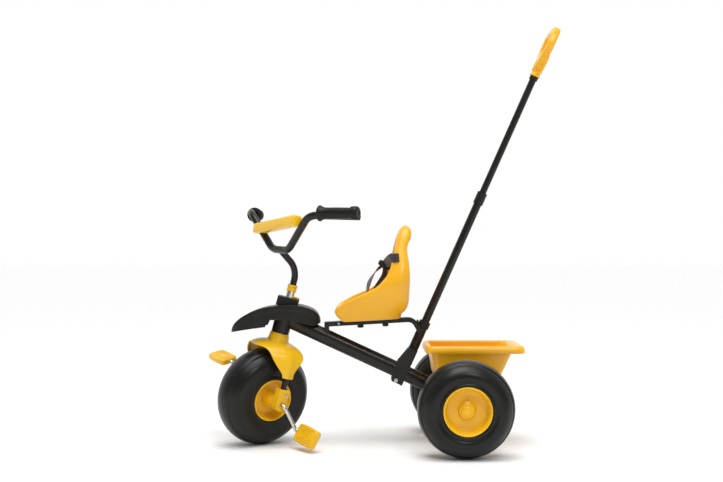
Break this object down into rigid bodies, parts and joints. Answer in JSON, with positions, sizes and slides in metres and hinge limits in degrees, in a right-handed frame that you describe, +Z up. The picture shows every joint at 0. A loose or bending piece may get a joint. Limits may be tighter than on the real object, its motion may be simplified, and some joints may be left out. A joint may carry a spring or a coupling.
{
  "type": "children's tricycle",
  "caption": "Child's tricycle with pedals on the front wheel, a bucket seat with a harness, a tipper tray and a telescopic push pole that lifts out.",
  "frame": {"origin": "on the ground under the middle of the whole tricycle", "axes": "+X forward, +Y to the rider's left, +Z up; stored steered 38 degrees to the left"},
  "size_m": [0.9158, 0.4746, 1.0657],
  "materials": {
    "black_paint": "satin",
    "chrome": "polished",
    "zinc": "zinc plated",
    "yellow_plastic": "gloss",
    "black_plastic": "matte",
    "tyre": "smooth",
    "grip_rubber": "soft",
    "webbing": "woven"
  },
  "bodies": {
    "frame": {"main_tube": "black_paint", "tail_plug": "black_plastic", "head_tube": "black_paint", "head_bushes": "black_plastic", "axle_tube": "black_paint", "axle_bushes": "black_plastic", "rear_axle": "zinc", "axle_washers": "zinc", "axle_nuts": "zinc", "pole_socket": "black_paint", "pole_bracket": "black_paint", "bracket_bolt": "zinc", "bracket_nut": "zinc", "socket_collar": "black_plastic", "socket_screw": "black_plastic", "seat_rail": "black_paint", "rail_foot": "black_paint", "rail_rivets": "zinc", "tray": "yellow_plastic", "tray_screws": "zinc", "tray_support": "black_paint", "front_console": "black_plastic", "lock_housing": "black_plastic", "lock_pin": "zinc"},
    "lock_lever": {"lock_lever": "yellow_plastic"},
    "seat": {"seat_shell": "yellow_plastic", "seat_bolts": "zinc", "seat_nuts": "black_plastic", "crotch_strap": "webbing", "lap_straps": "webbing", "harness_buckle": "black_plastic"},
    "fork": {"steerer_tube": "chrome", "fork": "black_paint", "front_fender": "yellow_plastic", "fork_end_left": "yellow_plastic", "fork_end_right": "yellow_plastic", "fork_end_screws": "zinc", "stem_collar": "yellow_plastic"},
    "handlebar": {"handlebar_stem": "black_paint", "handlebar": "black_paint", "grip_left": "grip_rubber", "grip_right": "grip_rubber", "bar_pad": "yellow_plastic"},
    "front_wheel": {"front_tyre": "tyre", "front_hub_left": "yellow_plastic", "front_hub_right": "yellow_plastic", "crank_axle": "chrome"},
    "pedal_left": {"pedal_left": "yellow_plastic"},
    "pedal_right": {"pedal_right": "yellow_plastic"},
    "rear_wheel_left": {"rear_tyre_left": "tyre", "rear_hub_left": "yellow_plastic", "hub_cap_left": "yellow_plastic"},
    "rear_wheel_right": {"rear_tyre_right": "tyre", "rear_hub_right": "yellow_plastic", "hub_cap_right": "yellow_plastic"},
    "push_pole": {"lower_pole": "black_paint", "middle_collar": "black_plastic"},
    "push_upper": {"upper_pole": "black_paint", "handle_collar": "black_plastic", "push_handle": "yellow_plastic"}
  },
  "joints": [
    {"name": "steering", "type": "hinge", "parent": "frame", "child": "fork", "pos_m": [0.29981, 0, 0.12397], "axis": [-0.2588, 0, 0.9659], "range_deg": [-80, 4]},
    {"name": "front_wheel_spin", "type": "hinge", "parent": "fork", "child": "front_wheel", "pos_m": [0.29981, 0, 0.12397], "axis": [-0.5947, 0.788, -0.1593], "continuous": true},
    {"name": "pedal_left_spin", "type": "hinge", "parent": "front_wheel", "child": "pedal_left", "pos_m": [0.20452, 0.07159, 0.04292], "axis": [-0.5947, 0.788, -0.1593], "continuous": true},
    {"name": "pedal_right_spin", "type": "hinge", "parent": "front_wheel", "child": "pedal_right", "pos_m": [0.39511, -0.07159, 0.20502], "axis": [-0.5947, 0.788, -0.1593], "continuous": true},
    {"name": "rear_left_spin", "type": "hinge", "parent": "frame", "child": "rear_wheel_left", "pos_m": [-0.20258, 0.1863, 0.1175], "axis": [0, 1, 0], "continuous": true},
    {"name": "rear_right_spin", "type": "hinge", "parent": "frame", "child": "rear_wheel_right", "pos_m": [-0.20258, -0.1863, 0.1175], "axis": [0, 1, 0], "continuous": true},
    {"name": "stem_height", "type": "slide", "parent": "fork", "child": "handlebar", "axis": [-0.2588, 0, 0.9659], "range_m": [-0.008, 0.03]},
    {"name": "seat_slide", "type": "slide", "parent": "frame", "child": "seat", "axis": [0.9984, 0, -0.0558], "range_m": [-0.02, 0.02]},
    {"name": "push_pole_lift", "type": "slide", "parent": "frame", "child": "push_pole", "axis": [-0.4075, 0, 0.9132], "range_m": [0, 0.1]},
    {"name": "push_pole_extend", "type": "slide", "parent": "push_pole", "child": "push_upper", "axis": [-0.4075, 0, 0.9132], "range_m": [-0.25, 0.02]},
    {"name": "lock_lever_hinge", "type": "hinge", "parent": "frame", "child": "lock_lever", "pos_m": [0.21739, 0, 0.37365], "axis": [0, 1, 0], "range_deg": [0, 60]}
  ]
}
